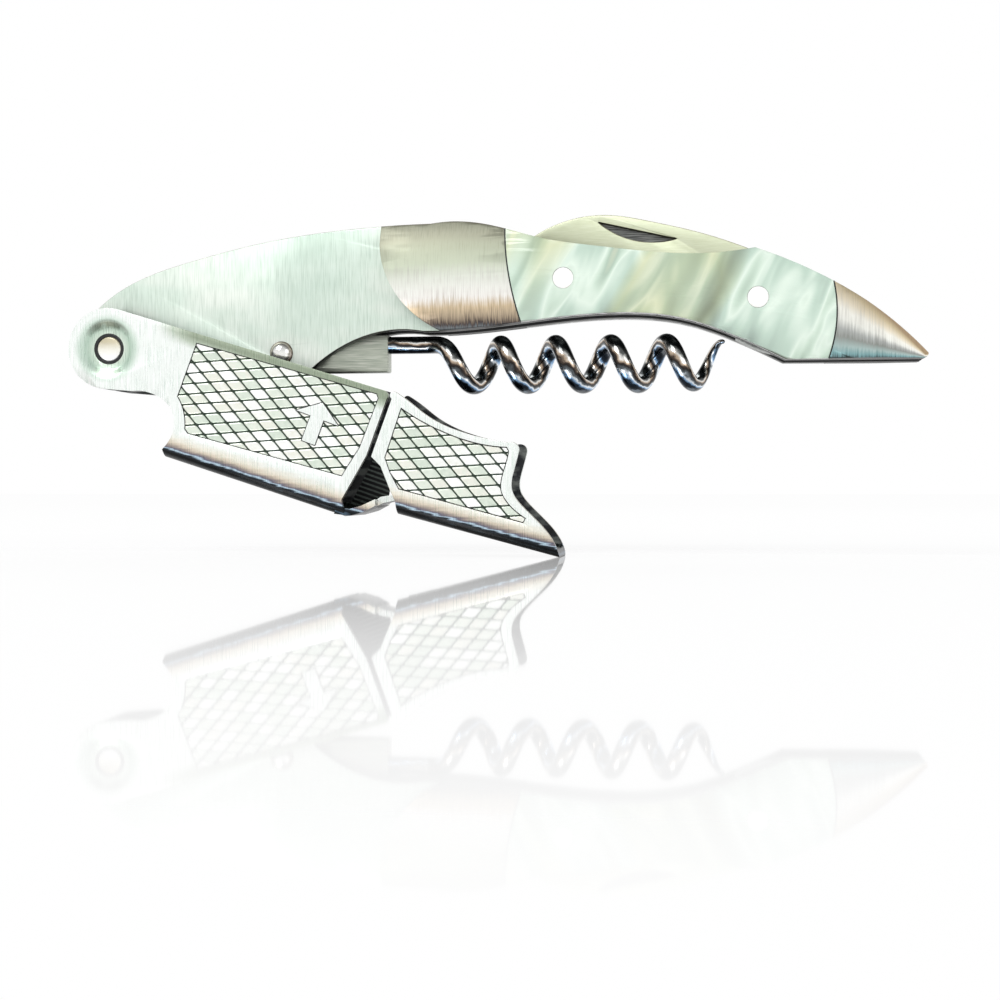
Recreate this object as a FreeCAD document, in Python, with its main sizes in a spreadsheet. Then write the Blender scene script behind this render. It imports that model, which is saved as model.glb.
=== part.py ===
"""Two-step lever corkscrew: a slim folding handle with a worm, a foil blade and a double-hinged lever.

Frame: +X runs from the hub to the tail tip, +Y to the back side, +Z up. The origin lies under the
middle of the box, level with the lip of the second lever. Millimetres.
Names ending in _front belong to the -Y side of the handle and names ending in _back to the +Y side.
"""
import FreeCAD, Part
import math
import os

from FreeCAD import Rotation, Vector

doc = FreeCAD.newDocument("lever_corkscrew")

# ---------------------------------------------------------------- driving dimensions
SIZES = [
    ("half_width", 6.0, "outer faces of the levers and crest of the grips, from the middle plane"),
    ("gap_width", 3.2, "clear space between the two liners"),
    ("liner_thickness", 2.0, "steel liner plate"),
    ("crown_radius", 18.0, "cross-section radius of bolsters and scales"),
    ("crown_sweep", 189.0, "radius of the crest line along the handle"),
    ("crown_centre_x", 1.6, "centre of the crest line, along the handle"),
    ("crown_centre_z", -148.0, "centre of the crest line, below the handle"),
    ("tail_taper_x", 47.9, "the tail bolsters start to thin here"),
    ("tail_taper_radius", 75.0, "curve of that thinning, seen from above"),
    ("lever_pivot_x", -57.4, "hub pin"),
    ("lever_pivot_z", 31.2, "hub pin"),
    ("lever_pin_radius", 1.81, "hub pin"),
    ("lever_pin_inset", 0.72, "ends of the hub pin, below the levers' outer faces"),
    ("hub_radius", 6.1, "rounded head of liners and lever ears"),
    ("bush_radius", 2.34, "black bush round the hub pin"),
    ("bush_flange_radius", 3.6, "flange of the bush, between ear and liner"),
    ("bush_inset", 0.75, "outer end of the bush, below the lever's outer face"),
    ("bush_gap", 0.04, "between the bush's flange and the liner"),
    ("ear_seat_depth", 0.85, "pressed seat that carries the ear towards the bush's flange"),
    ("ear_seat_height", 0.95, "length of that seat's cone"),
    ("ear_seat_small", 3.7, "radius of the seat at the bush"),
    ("ear_seat_large", 5.0, "radius of the seat at the ear's wall"),
    ("ear_dish_depth", 0.75, "dish in the ear's outer face"),
    ("ear_dish_height", 0.8, "length of that dish's cone"),
    ("ear_dish_small", 3.0, "radius of the dish's floor"),
    ("ear_dish_large", 4.6, "radius of the dish's rim"),
    ("running_clearance", 0.05, "radial clearance of every turning pin"),
    ("worm_pivot_x", -31.1, "worm pin"),
    ("worm_pivot_z", 30.4, "worm pin"),
    ("worm_pin_radius", 1.3, "worm pin"),
    ("worm_head_radius", 2.0, "ball-like rivet head of the worm pin"),
    ("worm_head_height", 1.1, "ball-like rivet head of the worm pin"),
    ("tang_thickness", 2.9, "flat tang of the worm"),
    ("tang_radius", 2.8, "rounded eye of the tang, also half its height"),
    ("tang_end_x", -15.25, "step where the tang becomes wire"),
    ("wire_radius", 1.3, "worm wire"),
    ("coil_radius", 3.1, "worm centreline, from the helix axis"),
    ("coil_axis_z", 28.6, "helix axis"),
    ("coil_pitch", 8.2, "worm pitch"),
    ("blade_pivot_x", 39.5, "foil blade pin"),
    ("blade_pivot_z", 37.5, "foil blade pin"),
    ("scale_pin_x", 11.5, "rivet through scales, liners and worm spring"),
    ("scale_pin_z", 40.7, "rivet through scales, liners and worm spring"),
    ("grip_pin_radius", 1.55, "both pins that show in the scales"),
    ("grip_pin_inset", 0.1, "their ends, below the crest of the grips"),
    ("blade_thickness", 1.8, "foil blade"),
    ("blade_eye_thickness", 3.0, "boss of the foil blade, round its pin"),
    ("blade_eye_radius", 4.3, "boss of the foil blade, round its pin"),
    ("bolster_pin_radius", 0.9, "hidden rivets of the bolsters"),
    ("bolster_pin_half_length", 4.6, "hidden rivets of the bolsters"),
    ("lever_sheet", 1.0, "wall of both levers"),
    ("lever_edge_radius", 1.6, "outer bend between a lever's wall and its spine"),
    ("hinge_x", -11.8, "pin between the two levers"),
    ("hinge_z", 9.9, "pin between the two levers"),
    ("hinge_pin_radius", 0.9, "pin between the two levers"),
    ("hinge_pin_inset", 0.4, "its ends, hidden in the walls"),
    ("knuckle_radius", 1.6, "rolled end of the first lever's tongue"),
    ("tongue_width", 6.6, "tongue where it enters the second lever"),
    ("tongue_slot_width", 7.6, "cut-out of the second lever's spine for the tongue"),
    ("tongue_slot_length", 6.0, "that cut-out along the lever"),
    ("tongue_slot_height", 5.0, "that cut-out up from below the spine"),
    ("tongue_slot_behind", 2.7, "its start, before the hinge"),
    ("tongue_slot_bottom", 2.9, "its lower end"),
    ("panel_depth", 0.25, "recess of the textured panels"),
]
sheet = doc.addObject("Spreadsheet::Sheet", "Sizes")
for row, (alias, value, note) in enumerate(SIZES, start=1):
    sheet.set(f"A{row}", str(value))
    sheet.setAlias(f"A{row}", alias)
    sheet.set(f"B{row}", note)
doc.recompute()


def size(alias):
    """The value of one cell of the sheet."""
    return float(sheet.get(alias))


def bind(thing, **expressions):
    """Ties properties to cells: Radius="hub_radius" reads Sizes.hub_radius."""
    for prop, text in expressions.items():
        thing.setExpression(prop.replace("__", "."), text)
    return thing


def cell(text):
    """Writes Sizes. in front of every alias in a short sum such as "half_width - lever_sheet"."""
    words = text.split()
    return " ".join("Sizes." + word if word[0].isalpha() else word for word in words)


# ---------------------------------------------------------------- drawing helpers
def at(x, z):
    """A point of a side outline: sketch x is X and sketch y is Z."""
    return Vector(x, z, 0)


def line(*points):
    """Straight edges through the points."""
    return [Part.LineSegment(a, b) for a, b in zip(points, points[1:])]


def arc(start, middle, end):
    return [Part.Arc(start, middle, end)]


def curve(*points):
    """One smooth edge through the points."""
    spline = Part.BSplineCurve()
    spline.interpolate(list(points))
    return [spline]


SIDE_ON = Rotation(Vector(1, 0, 0), 90)


def outline(name, *wires, y="0"):
    """A sketch in the XZ plane at depth y. Inner wires are islands."""
    sketch = doc.addObject("Sketcher::SketchObject", name)
    for wire in wires:
        sketch.addGeometry(wire, False)
    sketch.Placement = FreeCAD.Placement(Vector(0, 0, 0), SIDE_ON)
    return bind(sketch, Placement__Base__y=cell(y))


def plate(name, wires, back, depth):
    """Side outline extruded from the plane y=back towards -Y by depth."""
    sketch = outline(name + "_outline", *wires, y=back)
    solid = doc.addObject("Part::Extrusion", name)
    solid.Base = sketch
    solid.DirMode = "Normal"
    solid.Solid = True
    return bind(solid, LengthFwd=cell(depth))


def rod(name, x, z, radius, half_length, middle="0"):
    """Cylinder along Y, centred on y=middle."""
    pin = doc.addObject("Part::Cylinder", name)
    pin.Placement = FreeCAD.Placement(Vector(0, 0, 0), SIDE_ON)
    half = cell(half_length)
    bind(pin, Radius=cell(radius), Height="2 * (" + half + ")")
    return bind(
        pin,
        Placement__Base__x=cell(x),
        Placement__Base__z=cell(z),
        Placement__Base__y=cell(middle) + " + " + half,
    )


def cone(name, x, z, outer_radius, inner_radius, y, height):
    """Frustum along Y whose outer_radius end is at y and whose height runs towards -Y."""
    shape = doc.addObject("Part::Cone", name)
    shape.Placement = FreeCAD.Placement(Vector(0, 0, 0), SIDE_ON)
    bind(shape, Radius1=outer_radius, Radius2=inner_radius, Height=height)
    return bind(shape, Placement__Base__x=cell(x), Placement__Base__z=cell(z), Placement__Base__y=y)


def fuse(name, *solids):
    """Union of several solids, without the seams between their coplanar faces."""
    whole = doc.addObject("Part::MultiFuse", name)
    whole.Shapes = list(solids)
    whole.Refine = True
    return whole


def cut(name, base, *tools):
    piece = doc.addObject("Part::Cut", name)
    piece.Base = base
    piece.Tool = tools[0] if len(tools) == 1 else fuse(name + "_tools", *tools)
    return piece


def common(name, base, tool):
    piece = doc.addObject("Part::Common", name)
    piece.Base = base
    piece.Tool = tool
    return piece


def group(name, *solids):
    """Identical fasteners in one node."""
    both = doc.addObject("Part::Compound", name)
    both.Links = list(solids)
    return both


SUBPARTS = []


def subpart(name, thing):
    """Registers a finished piece: its Label names its file."""
    thing.Label = name
    SUBPARTS.append(thing)
    return thing


# ---------------------------------------------------------------- handle outline
HUB = at(size("lever_pivot_x"), size("lever_pivot_z"))


def on_hub(degrees, radius=size("hub_radius")):
    """A point on the hub's rim, counted from +X towards +Z."""
    turn = math.radians(degrees)
    return HUB + at(radius * math.cos(turn), radius * math.sin(turn))


# The back rises from the hub to the head bolster, dips behind the blade and falls to the tail.
BACK_TOP = at(-8.3, 49.3)
BACK_KNEE = at(39.1, 44.85)
TAIL_TIP = at(63.5, 29.4)
TAIL_HEEL = at(43.4, 28.7)
back_front = [on_hub(128), at(-54.7, 41.0), at(-45.25, 44.35), at(-32.8, 47.2), at(-20.6, 48.75), BACK_TOP]
back_dip = [BACK_TOP, at(2.1, 48.5), at(7.3, 46.95), at(17.5, 45.2), at(28.4, 44.05), BACK_KNEE]
back_tail = [BACK_KNEE, at(49.7, 40.0), at(57.0, 35.2), TAIL_TIP]
# The belly is one long arch over the worm, with a deeper pocket over the worm's tang.
WORM_POCKET = at(-27.6, 26.9)
belly = [TAIL_HEEL, at(36.97, 31.8), at(28.4, 34.8), at(19.7, 35.65), at(9.8, 35.05), at(-2.4, 33.7)]
belly += [at(-9.5, 33.4)]
pocket = [at(-9.5, 33.4), at(-16.8, 33.25), at(-23.6, 30.25), WORM_POCKET]
TIP_CHIN = at(62.7, 28.7)
handle_wire = (
    arc(on_hub(270), on_hub(199), on_hub(128))
    + curve(*back_front)
    + curve(*back_dip)
    + curve(*back_tail)
    + arc(TAIL_TIP, at(63.3, 28.9), TIP_CHIN)
    + line(TIP_CHIN, TAIL_HEEL)
    + curve(*belly)
    + curve(*pocket)
    + line(WORM_POCKET, on_hub(270))
)

# ---------------------------------------------------------------- pins
HALF_GAP = "gap_width / 2"
LINER_FACE = HALF_GAP + " + liner_thickness"


def cross_pin(name, pivot, radius, inset):
    """A pin along Y through the pivot's two cells, ending inset below the outer faces."""
    return rod(name, pivot + "_x", pivot + "_z", radius, "half_width - " + inset)


subpart("lever_pivot_pin", cross_pin("hub_pin", "lever_pivot", "lever_pin_radius", "lever_pin_inset"))
subpart("scale_pin", cross_pin("grip_rivet", "scale_pin", "grip_pin_radius", "grip_pin_inset"))
subpart("blade_pivot_pin", cross_pin("foil_pin", "blade_pivot", "grip_pin_radius", "grip_pin_inset"))
subpart("lever_hinge_pin", cross_pin("step_pin", "hinge", "hinge_pin_radius", "hinge_pin_inset"))
BOLSTER_PINS = [(-4.5, 43.5), (51.6, 31.4), (56.6, 30.4)]


def bolster_pin(number, x, z):
    return rod(f"bolster_rivet_{number}", str(x), str(z), "bolster_pin_radius", "bolster_pin_half_length")


hidden_rivets = [bolster_pin(number, x, z) for number, (x, z) in enumerate(BOLSTER_PINS)]
subpart("bolster_pins", group("hidden_rivets", *hidden_rivets))


def rivet_head(side, y_sign):
    """A slice of a sphere: the ball-like head of the worm pin on one liner."""
    ball = doc.addObject("Part::Sphere", f"worm_head_ball_{side}")
    bind(ball, Radius=cell("worm_head_radius"), Placement__Base__x=cell("worm_pivot_x"))
    inset = cell(LINER_FACE) + " + " + cell("worm_head_height") + " - " + cell("worm_head_radius")
    bind(ball, Placement__Base__z=cell("worm_pivot_z"), Placement__Base__y=f"{y_sign} * ({inset})")
    keep = "worm_head_height / 2"
    middle = f"{y_sign} * ( {LINER_FACE} + worm_head_height / 2 )"
    wide = "worm_head_radius * 2"
    slab = rod(f"worm_head_slab_{side}", "worm_pivot_x", "worm_pivot_z", wide, keep, middle)
    return common(f"worm_head_{side}", ball, slab)


worm_shank = rod("worm_shank", "worm_pivot_x", "worm_pivot_z", "worm_pin_radius", LINER_FACE)
subpart("worm_pivot_pin", fuse("worm_rivet", worm_shank, rivet_head("front", -1), rivet_head("back", 1)))


# ---------------------------------------------------------------- liners, bolsters and scales
def holes(name, half_length="half_width * 2"):
    """Bores for every pin that crosses the liners."""
    bores = [
        rod(name + "_hub", "lever_pivot_x", "lever_pivot_z", "lever_pin_radius", half_length),
        rod(name + "_worm", "worm_pivot_x", "worm_pivot_z", "worm_pin_radius", half_length),
        rod(name + "_blade", "blade_pivot_x", "blade_pivot_z", "grip_pin_radius", half_length),
        rod(name + "_scale", "scale_pin_x", "scale_pin_z", "grip_pin_radius", half_length),
    ]
    for n, (x, z) in enumerate(BOLSTER_PINS):
        place = (str(x), str(z))
        bores.append(rod(f"{name}_bolster_{n}", *place, "bolster_pin_radius", "bolster_pin_half_length"))
    return fuse(name, *bores)


pin_bores = holes("pin_bores")
for side, back in (("front", "0 - gap_width / 2"), ("back", LINER_FACE)):
    blank = plate(f"liner_blank_{side}", [handle_wire], back, "liner_thickness")
    subpart(f"liner_{side}", cut(f"liner_bored_{side}", blank, pin_bores))

# Region of each grip piece: it runs past the handle's outline, and only its joints matter.
HEAD_TOP, HEAD_BEND, HEAD_FOOT = at(-15.8, 55), at(-15.8, 46.2), at(-6.6, 33.3)
JOINT_TOP, JOINT_MID, JOINT_FOOT = at(3.0, 55), at(3.6, 41.0), at(6.2, 31.5)
TAIL_TOP, TAIL_MID, TAIL_FOOT = at(47.9, 46.0), at(50.6, 35.5), at(47.9, 25.0)
HEAD_HEEL = at(-6.6, 31.5)
head_edge = line(HEAD_TOP, HEAD_BEND) + arc(HEAD_BEND, at(-13.5, 39.2), HEAD_FOOT)
head_edge += line(HEAD_FOOT, HEAD_HEEL)
scale_top, scale_foot = line(JOINT_TOP, at(47.9, 55), TAIL_TOP), line(TAIL_FOOT, JOINT_FOOT)
head_joint = arc(JOINT_FOOT, JOINT_MID, JOINT_TOP)
tail_joint = arc(TAIL_FOOT, TAIL_MID, TAIL_TOP)
REGIONS = {
    "head_bolster": head_edge + line(HEAD_HEEL, JOINT_FOOT) + head_joint + line(JOINT_TOP, HEAD_TOP),
    "pearl_scale": head_joint + scale_top + tail_joint + scale_foot,
    "tail_bolster": tail_joint + line(TAIL_TOP, at(70, 46), at(70, 25), TAIL_FOOT),
}
for side, y_sign, back in (("front", -1, "0 - gap_width / 2 - liner_thickness"), ("back", 1, "half_width")):
    depth = "half_width - gap_width / 2 - liner_thickness"
    blank = plate(f"grip_blank_{side}", [handle_wire], back, depth)
    crest = doc.addObject("Part::Torus", f"crown_{side}")
    crest.Placement = FreeCAD.Placement(Vector(0, 0, 0), SIDE_ON)
    bind(crest, Radius1=cell("crown_sweep"), Radius2=cell("crown_radius"))
    bind(crest, Placement__Base__x=cell("crown_centre_x"), Placement__Base__z=cell("crown_centre_z"))
    bind(crest, Placement__Base__y=f"{-y_sign} * (" + cell("crown_radius - half_width") + ")")
    taper = doc.addObject("Part::Cylinder", f"tail_taper_{side}")
    bind(taper, Radius=cell("tail_taper_radius"), Height="100", Placement__Base__x=cell("tail_taper_x"))
    bind(taper, Placement__Base__y=f"{-y_sign} * (" + cell("tail_taper_radius - half_width") + ")")
    crowned = common(f"grip_crowned_{side}", blank, crest)
    bored = cut(f"grip_bored_{side}", crowned, pin_bores)
    for piece, region in REGIONS.items():
        zone = plate(f"{piece}_zone_{side}", [region], "half_width * 2", "half_width * 4")
        shape = common(f"{piece}_shape_{side}", bored, zone)
        if piece == "tail_bolster":
            shape = common(f"tail_tapered_{side}", shape, taper)
        subpart(f"{piece}_{side}", shape)

# ---------------------------------------------------------------- springs and spacer between the liners
worm_spring_wire = (
    curve(at(-35.5, 43.6), at(-20.0, 46.6), at(-8.3, 47.9), at(3.0, 46.6), at(8.2, 44.6))
    + line(at(8.2, 44.6), at(15.0, 43.2), at(15.0, 38.0), at(6.0, 38.0))
    + curve(at(6.0, 38.0), at(-5.0, 39.2), at(-20.0, 36.2), at(-29.5, 33.6))
    + line(at(-29.5, 33.6), at(-35.5, 34.2), at(-35.5, 43.6))
)
blade_spring_wire = (
    line(at(36.4, 32.9), at(36.4, 32.0))
    + curve(at(36.4, 32.0), at(40.0, 30.3), TAIL_HEEL + at(1.2, 0.5))
    + line(TAIL_HEEL + at(1.2, 0.5), at(61.0, 29.2), at(56.0, 31.9), at(49.5, 32.9))
    + line(at(49.5, 32.9), at(49.5, 31.2), at(45.0, 31.2))
    + curve(at(45.0, 31.2), at(42.0, 32.4), at(39.5, 33.0), at(36.4, 32.9))
)
spacer_wire = (
    arc(on_hub(275, 5.4), on_hub(190, 5.4), on_hub(105, 5.4))
    + line(on_hub(105, 5.4), at(-50.0, 38.0), at(-42.0, 38.5), at(-42.0, 28.0), on_hub(275, 5.4))
)
GAP_FILLERS = {"worm_spring": worm_spring_wire, "blade_spring": blade_spring_wire, "hub_spacer": spacer_wire}
for name, wire in GAP_FILLERS.items():
    blank = plate(name + "_blank", [wire], HALF_GAP, "gap_width")
    subpart(name, cut(name + "_bored", blank, pin_bores))

# ---------------------------------------------------------------- worm
EYE = at(size("worm_pivot_x"), size("worm_pivot_z"))
TANG_R, TANG_END = size("tang_radius"), size("tang_end_x")
WIRE_R, COIL_R = size("wire_radius"), size("coil_radius")
PITCH, AXIS_Z = size("coil_pitch"), size("coil_axis_z")
tang_wire = (
    arc(EYE + at(0, TANG_R), EYE + at(-TANG_R, 0), EYE + at(0, -TANG_R))
    + line(EYE + at(0, -TANG_R), at(TANG_END, EYE.y - TANG_R), at(TANG_END, EYE.y + TANG_R))
    + line(at(TANG_END, EYE.y + TANG_R), EYE + at(0, TANG_R))
)
tang = plate("worm_tang", [tang_wire], "tang_thickness / 2", "tang_thickness")

LEAD_START_X = -9.6  # the wire leaves the straight shank here
LEAD_LENGTH = 6.0  # over this length the turn builds up to the full pitch
TIP_X = 34.6
TAPER_LENGTH = 7.0
TIP_RADIUS = 0.3
SAMPLES_PER_TURN = 16
WIRE_SIDES = 12  # the section is a polygon, so that the whole wire is one closed solid of flat facets
SEW_TOLERANCE = 1e-5


def coil_angle(x):
    """Turn about the helix axis at x, in radians: none on the shank, then growing to one turn a pitch."""
    rate = 2 * math.pi / PITCH
    run = x - LEAD_START_X
    if run <= 0:
        return 0.0
    if run <= LEAD_LENGTH:
        return rate * run * run / (2 * LEAD_LENGTH)
    return rate * (run - LEAD_LENGTH / 2)


def coil_point(x):
    """Right-handed: from the top the wire comes down across the front side."""
    turn = coil_angle(x)
    return Vector(x, -COIL_R * math.sin(turn), AXIS_Z + COIL_R * math.cos(turn))


def coil_ring(x, radius):
    """Corners of the wire's section at x, square to the centreline, the first one outermost."""
    step = 1e-4
    turn = coil_angle(x)
    forward = (coil_point(x + step) - coil_point(x - step)).normalize()
    outward = Vector(0, -math.sin(turn), math.cos(turn))
    aside = forward.cross(outward)
    corners = [2 * math.pi * k / WIRE_SIDES for k in range(WIRE_SIDES)]
    return [coil_point(x) + (outward * math.cos(c) + aside * math.sin(c)) * radius for c in corners]


def tip_radius(x):
    """The wire is round up to the taper and then narrows to a blunt point."""
    left = max(0.0, min(1.0, (TIP_X - x) / TAPER_LENGTH))
    return TIP_RADIUS + (WIRE_R - TIP_RADIUS) * math.sin(left * math.pi / 2)


SHANK_START_X = TANG_END - 1.0
shank_stations = [SHANK_START_X, (SHANK_START_X + LEAD_START_X) / 2]
coil_count = round((TIP_X - LEAD_START_X) / PITCH * SAMPLES_PER_TURN)
coil_stations = [LEAD_START_X + (TIP_X - LEAD_START_X) * n / coil_count for n in range(coil_count + 1)]
rings = [coil_ring(x, tip_radius(x)) for x in shank_stations + coil_stations]
facets = []
for ring in range(len(rings) - 1):
    for k in range(WIRE_SIDES):
        near, near_next = ring * WIRE_SIDES + k, ring * WIRE_SIDES + (k + 1) % WIRE_SIDES
        far, far_next = near + WIRE_SIDES, near_next + WIRE_SIDES
        facets += [(near, near_next, far_next), (near, far_next, far)]
last = (len(rings) - 1) * WIRE_SIDES
for k in range(1, WIRE_SIDES - 1):
    facets += [(0, k + 1, k), (last, last + k, last + k + 1)]
skin = Part.Shape()
skin.makeShapeFromMesh(([corner for ring in rings for corner in ring], facets), SEW_TOLERANCE)
wire = doc.addObject("Part::Feature", "worm_wire")
wire.Shape = Part.Solid(skin)
loose_fit = "worm_pin_radius + running_clearance"
eye_bore = rod("worm_eye_bore", "worm_pivot_x", "worm_pivot_z", loose_fit, "half_width")
subpart("worm", cut("worm_bored", fuse("worm_solid", tang, wire), eye_bore))

# ---------------------------------------------------------------- foil blade
BLADE_EYE = at(size("blade_pivot_x"), size("blade_pivot_z"))


def round_blade_eye(degrees, radius):
    turn = math.radians(degrees)
    return BLADE_EYE + at(radius * math.cos(turn), radius * math.sin(turn))


EYE_R = size("blade_eye_radius")
BLADE_POINT = at(6.6, 47.5)
blade_wire = (
    curve(BLADE_POINT, at(11.6, 49.8), at(17.0, 50.55), at(23.9, 49.5), at(31.2, 47.7), at(38.6, 45.1))
    + line(at(38.6, 45.1), round_blade_eye(92, EYE_R))
    + arc(round_blade_eye(92, EYE_R), round_blade_eye(-60, EYE_R), round_blade_eye(205, EYE_R))
    + curve(round_blade_eye(205, EYE_R), at(30.5, 38.2), at(20.0, 42.2), at(12.0, 45.2), BLADE_POINT)
)
blade_blank = plate("blade_blank", [blade_wire], "blade_thickness / 2", "blade_thickness")
BLADE_PIVOT = ("blade_pivot_x", "blade_pivot_z")
blade_eye = rod("blade_eye", *BLADE_PIVOT, "blade_eye_radius", "blade_eye_thickness / 2")
blade_bore = rod("blade_bore", *BLADE_PIVOT, "grip_pin_radius + running_clearance", "half_width")
NICK_LEFT, NICK_RIGHT = at(16.2, 49.5), at(27.9, 46.8)
nick_wire = line(NICK_LEFT, NICK_RIGHT) + arc(NICK_RIGHT, at(22.6, 46.5), NICK_LEFT)
nail_nick = plate("nail_nick", [nick_wire], "0 - blade_thickness / 2 + 0.6", "2")
blade_solid = fuse("blade_solid", blade_blank, blade_eye)
subpart("foil_blade", cut("blade_shape", blade_solid, blade_bore, nail_nick))


# ---------------------------------------------------------------- lever channels
def channel(name, foot, lift_degrees, length):
    """U-shaped sheet section along a lever. foot is the outer middle of its spine, at the hub end."""
    half = size("half_width")
    thick = size("lever_sheet")
    bend = size("lever_edge_radius")
    tall = 34.0  # above the highest point of both levers
    inner = bend - thick

    def u_half(sign):
        lower = [Vector(sign * half, tall, 0), Vector(sign * half, bend, 0)]
        corner = half - bend * (1 - math.sqrt(0.5))
        bend_mid = Vector(sign * corner, bend * (1 - math.sqrt(0.5)), 0)
        return lower, bend_mid, Vector(sign * (half - bend), 0, 0)

    (left_top, left_low), left_mid, left_end = u_half(-1)
    (right_top, right_low), right_mid, right_end = u_half(1)
    inside = half - thick

    def inner_bend(sign):
        reach = inner * (1 - math.sqrt(0.5))
        return (
            Vector(sign * inside, thick + inner, 0),
            Vector(sign * (inside - reach), thick + reach, 0),
            Vector(sign * (inside - inner), thick, 0),
        )

    l_low, l_mid, l_end = inner_bend(-1)
    r_low, r_mid, r_end = inner_bend(1)
    section = (
        line(left_top, left_low)
        + arc(left_low, left_mid, left_end)
        + line(left_end, right_end)
        + arc(right_end, right_mid, right_low)
        + line(right_low, right_top, Vector(inside, tall, 0), r_low)
        + arc(r_low, r_mid, r_end)
        + line(r_end, l_end)
        + arc(l_end, l_mid, l_low)
        + line(l_low, Vector(-inside, tall, 0), left_top)
    )
    sketch = doc.addObject("Sketcher::SketchObject", name + "_section")
    sketch.addGeometry(section, False)
    across = Rotation(Vector(0, 0, 1), 90).multiply(Rotation(Vector(1, 0, 0), 90))
    lean = Rotation(Vector(0, 1, 0), -lift_degrees)
    sketch.Placement = FreeCAD.Placement(Vector(foot[0], 0, foot[1]), lean.multiply(across))
    solid = doc.addObject("Part::Extrusion", name)
    solid.Base = sketch
    solid.DirMode = "Normal"
    solid.Solid = True
    solid.LengthFwd = length
    return solid


def panel_recess(name, wires, side):
    """Shallow pocket in one outer wall. Inner wires stay raised."""
    back = "0 - half_width + panel_depth" if side == "front" else "half_width + 1"
    return plate(f"{name}_{side}", wires, back, "1 + panel_depth")


# ---------------------------------------------------------------- first lever
FIRST_SLOPE = -17.9
SECOND_SLOPE = -14.8
first_top_end = at(-14.9, 24.55)
FIRST_LIP = at(-48.7, 14.9)
BITE_END = at(-48.9, 16.0)  # lower end of the cap lifter's mouth
first_wire = (
    arc(on_hub(73.1), on_hub(171), on_hub(270))
    + line(on_hub(270), at(-53.5, 24.75))
    + curve(at(-53.5, 24.75), at(-49.8, 24.1), at(-47.4, 21.9), at(-47.1, 19.0), at(-47.9, 17.1), BITE_END)
    + line(BITE_END, FIRST_LIP, at(-48.4, 10.0), at(-22.0, 1.4), at(-21.0, 6.5), at(-21.4, 8.4))
    + line(at(-21.4, 8.4), at(-17.6, 15.0), at(-14.55, 23.3))
    + arc(at(-14.55, 23.3), at(-14.45, 24.15), first_top_end)
    + line(first_top_end, on_hub(73.1))
)
first_sides = plate("first_sides", [first_wire], "half_width", "half_width * 2")
FOOT_BACK = 20.0
slope = math.radians(FIRST_SLOPE)
first_foot = (FIRST_LIP.x - FOOT_BACK * math.cos(slope), FIRST_LIP.y - FOOT_BACK * math.sin(slope))
first_channel = channel("first_channel", first_foot, FIRST_SLOPE, 70)
first_walls = common("first_walls", first_sides, first_channel)
tongue_wide_wire = line(
    at(-22.6, 6.35), at(-20.3, 6.05), at(-18.1, 6.65), at(-16.4, 7.55),
    at(-16.4, 8.5), at(-18.5, 7.55), at(-20.3, 7.05), at(-22.3, 7.45), at(-22.6, 6.35),
)
tongue_wide = plate("tongue_wide", [tongue_wide_wire], "half_width - 0.5", "half_width * 2 - 1")
KNUCKLE = at(size("hinge_x"), size("hinge_z"))
KNUCKLE_R = size("knuckle_radius")
tongue_neck_wire = line(
    at(-16.7, 7.4), at(-15.6, 7.95), at(-13.8, 8.3), KNUCKLE + at(0, -KNUCKLE_R), KNUCKLE + at(0, -0.4),
    KNUCKLE + at(-1.3, -0.7), at(-14.2, 9.15), at(-16.0, 8.85), at(-16.7, 8.4), at(-16.7, 7.4),
)
tongue_neck = plate("tongue_neck", [tongue_neck_wire], "tongue_width / 2", "tongue_width")
knuckle = rod("knuckle", "hinge_x", "hinge_z", "knuckle_radius", "tongue_width / 2")
ear_seats = []
ear_dishes = []
SEAT = ("Sizes.ear_seat_small", "Sizes.ear_seat_large")
DISH = ("Sizes.ear_dish_small", "Sizes.ear_dish_large")
INNER_WALL, OUTER_WALL = cell("half_width - lever_sheet"), cell("half_width")
SEAT_END = f"{INNER_WALL} - Sizes.ear_seat_depth"
DISH_END = f"{OUTER_WALL} - Sizes.ear_dish_depth"
for side, y_sign in (("front", -1), ("back", 1)):
    seat_size, dish_size = SEAT, DISH
    seat_y, dish_y = f"-({SEAT_END})", f"-({DISH_END})"
    if y_sign > 0:
        seat_size, dish_size = SEAT[::-1], DISH[::-1]
        seat_y = f"{SEAT_END} + Sizes.ear_seat_height"
        dish_y = f"{DISH_END} + Sizes.ear_dish_height"
    pivot = ("lever_pivot_x", "lever_pivot_z")
    ear_seats.append(cone(f"ear_seat_{side}", *pivot, *seat_size, seat_y, "Sizes.ear_seat_height"))
    ear_dishes.append(cone(f"ear_dish_{side}", *pivot, *dish_size, dish_y, "Sizes.ear_dish_height"))
hub_bore = rod("hub_bore", "lever_pivot_x", "lever_pivot_z", "bush_radius", "half_width * 2")
hinge_fit = "hinge_pin_radius + running_clearance"
hinge_bore = rod("hinge_bore", "hinge_x", "hinge_z", hinge_fit, "half_width * 2")
first_solid = fuse("first_solid", first_walls, tongue_wide, tongue_neck, knuckle, *ear_seats)
first_panel_wire = (
    line(at(-43.5, 31.9), at(-46.5, 23.9))
    + arc(at(-46.5, 23.9), at(-45.5, 21.3), at(-45.4, 19.0))
    + line(at(-45.4, 19.0), at(-44.9, 18.3), at(-21.3, 11.9))
    + line(at(-21.3, 11.9), at(-20.3, 13.5), at(-18.6, 16.1), at(-15.75, 23.4), at(-16.0, 24.1))
    + line(at(-16.0, 24.1), at(-43.5, 31.9))
)
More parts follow.
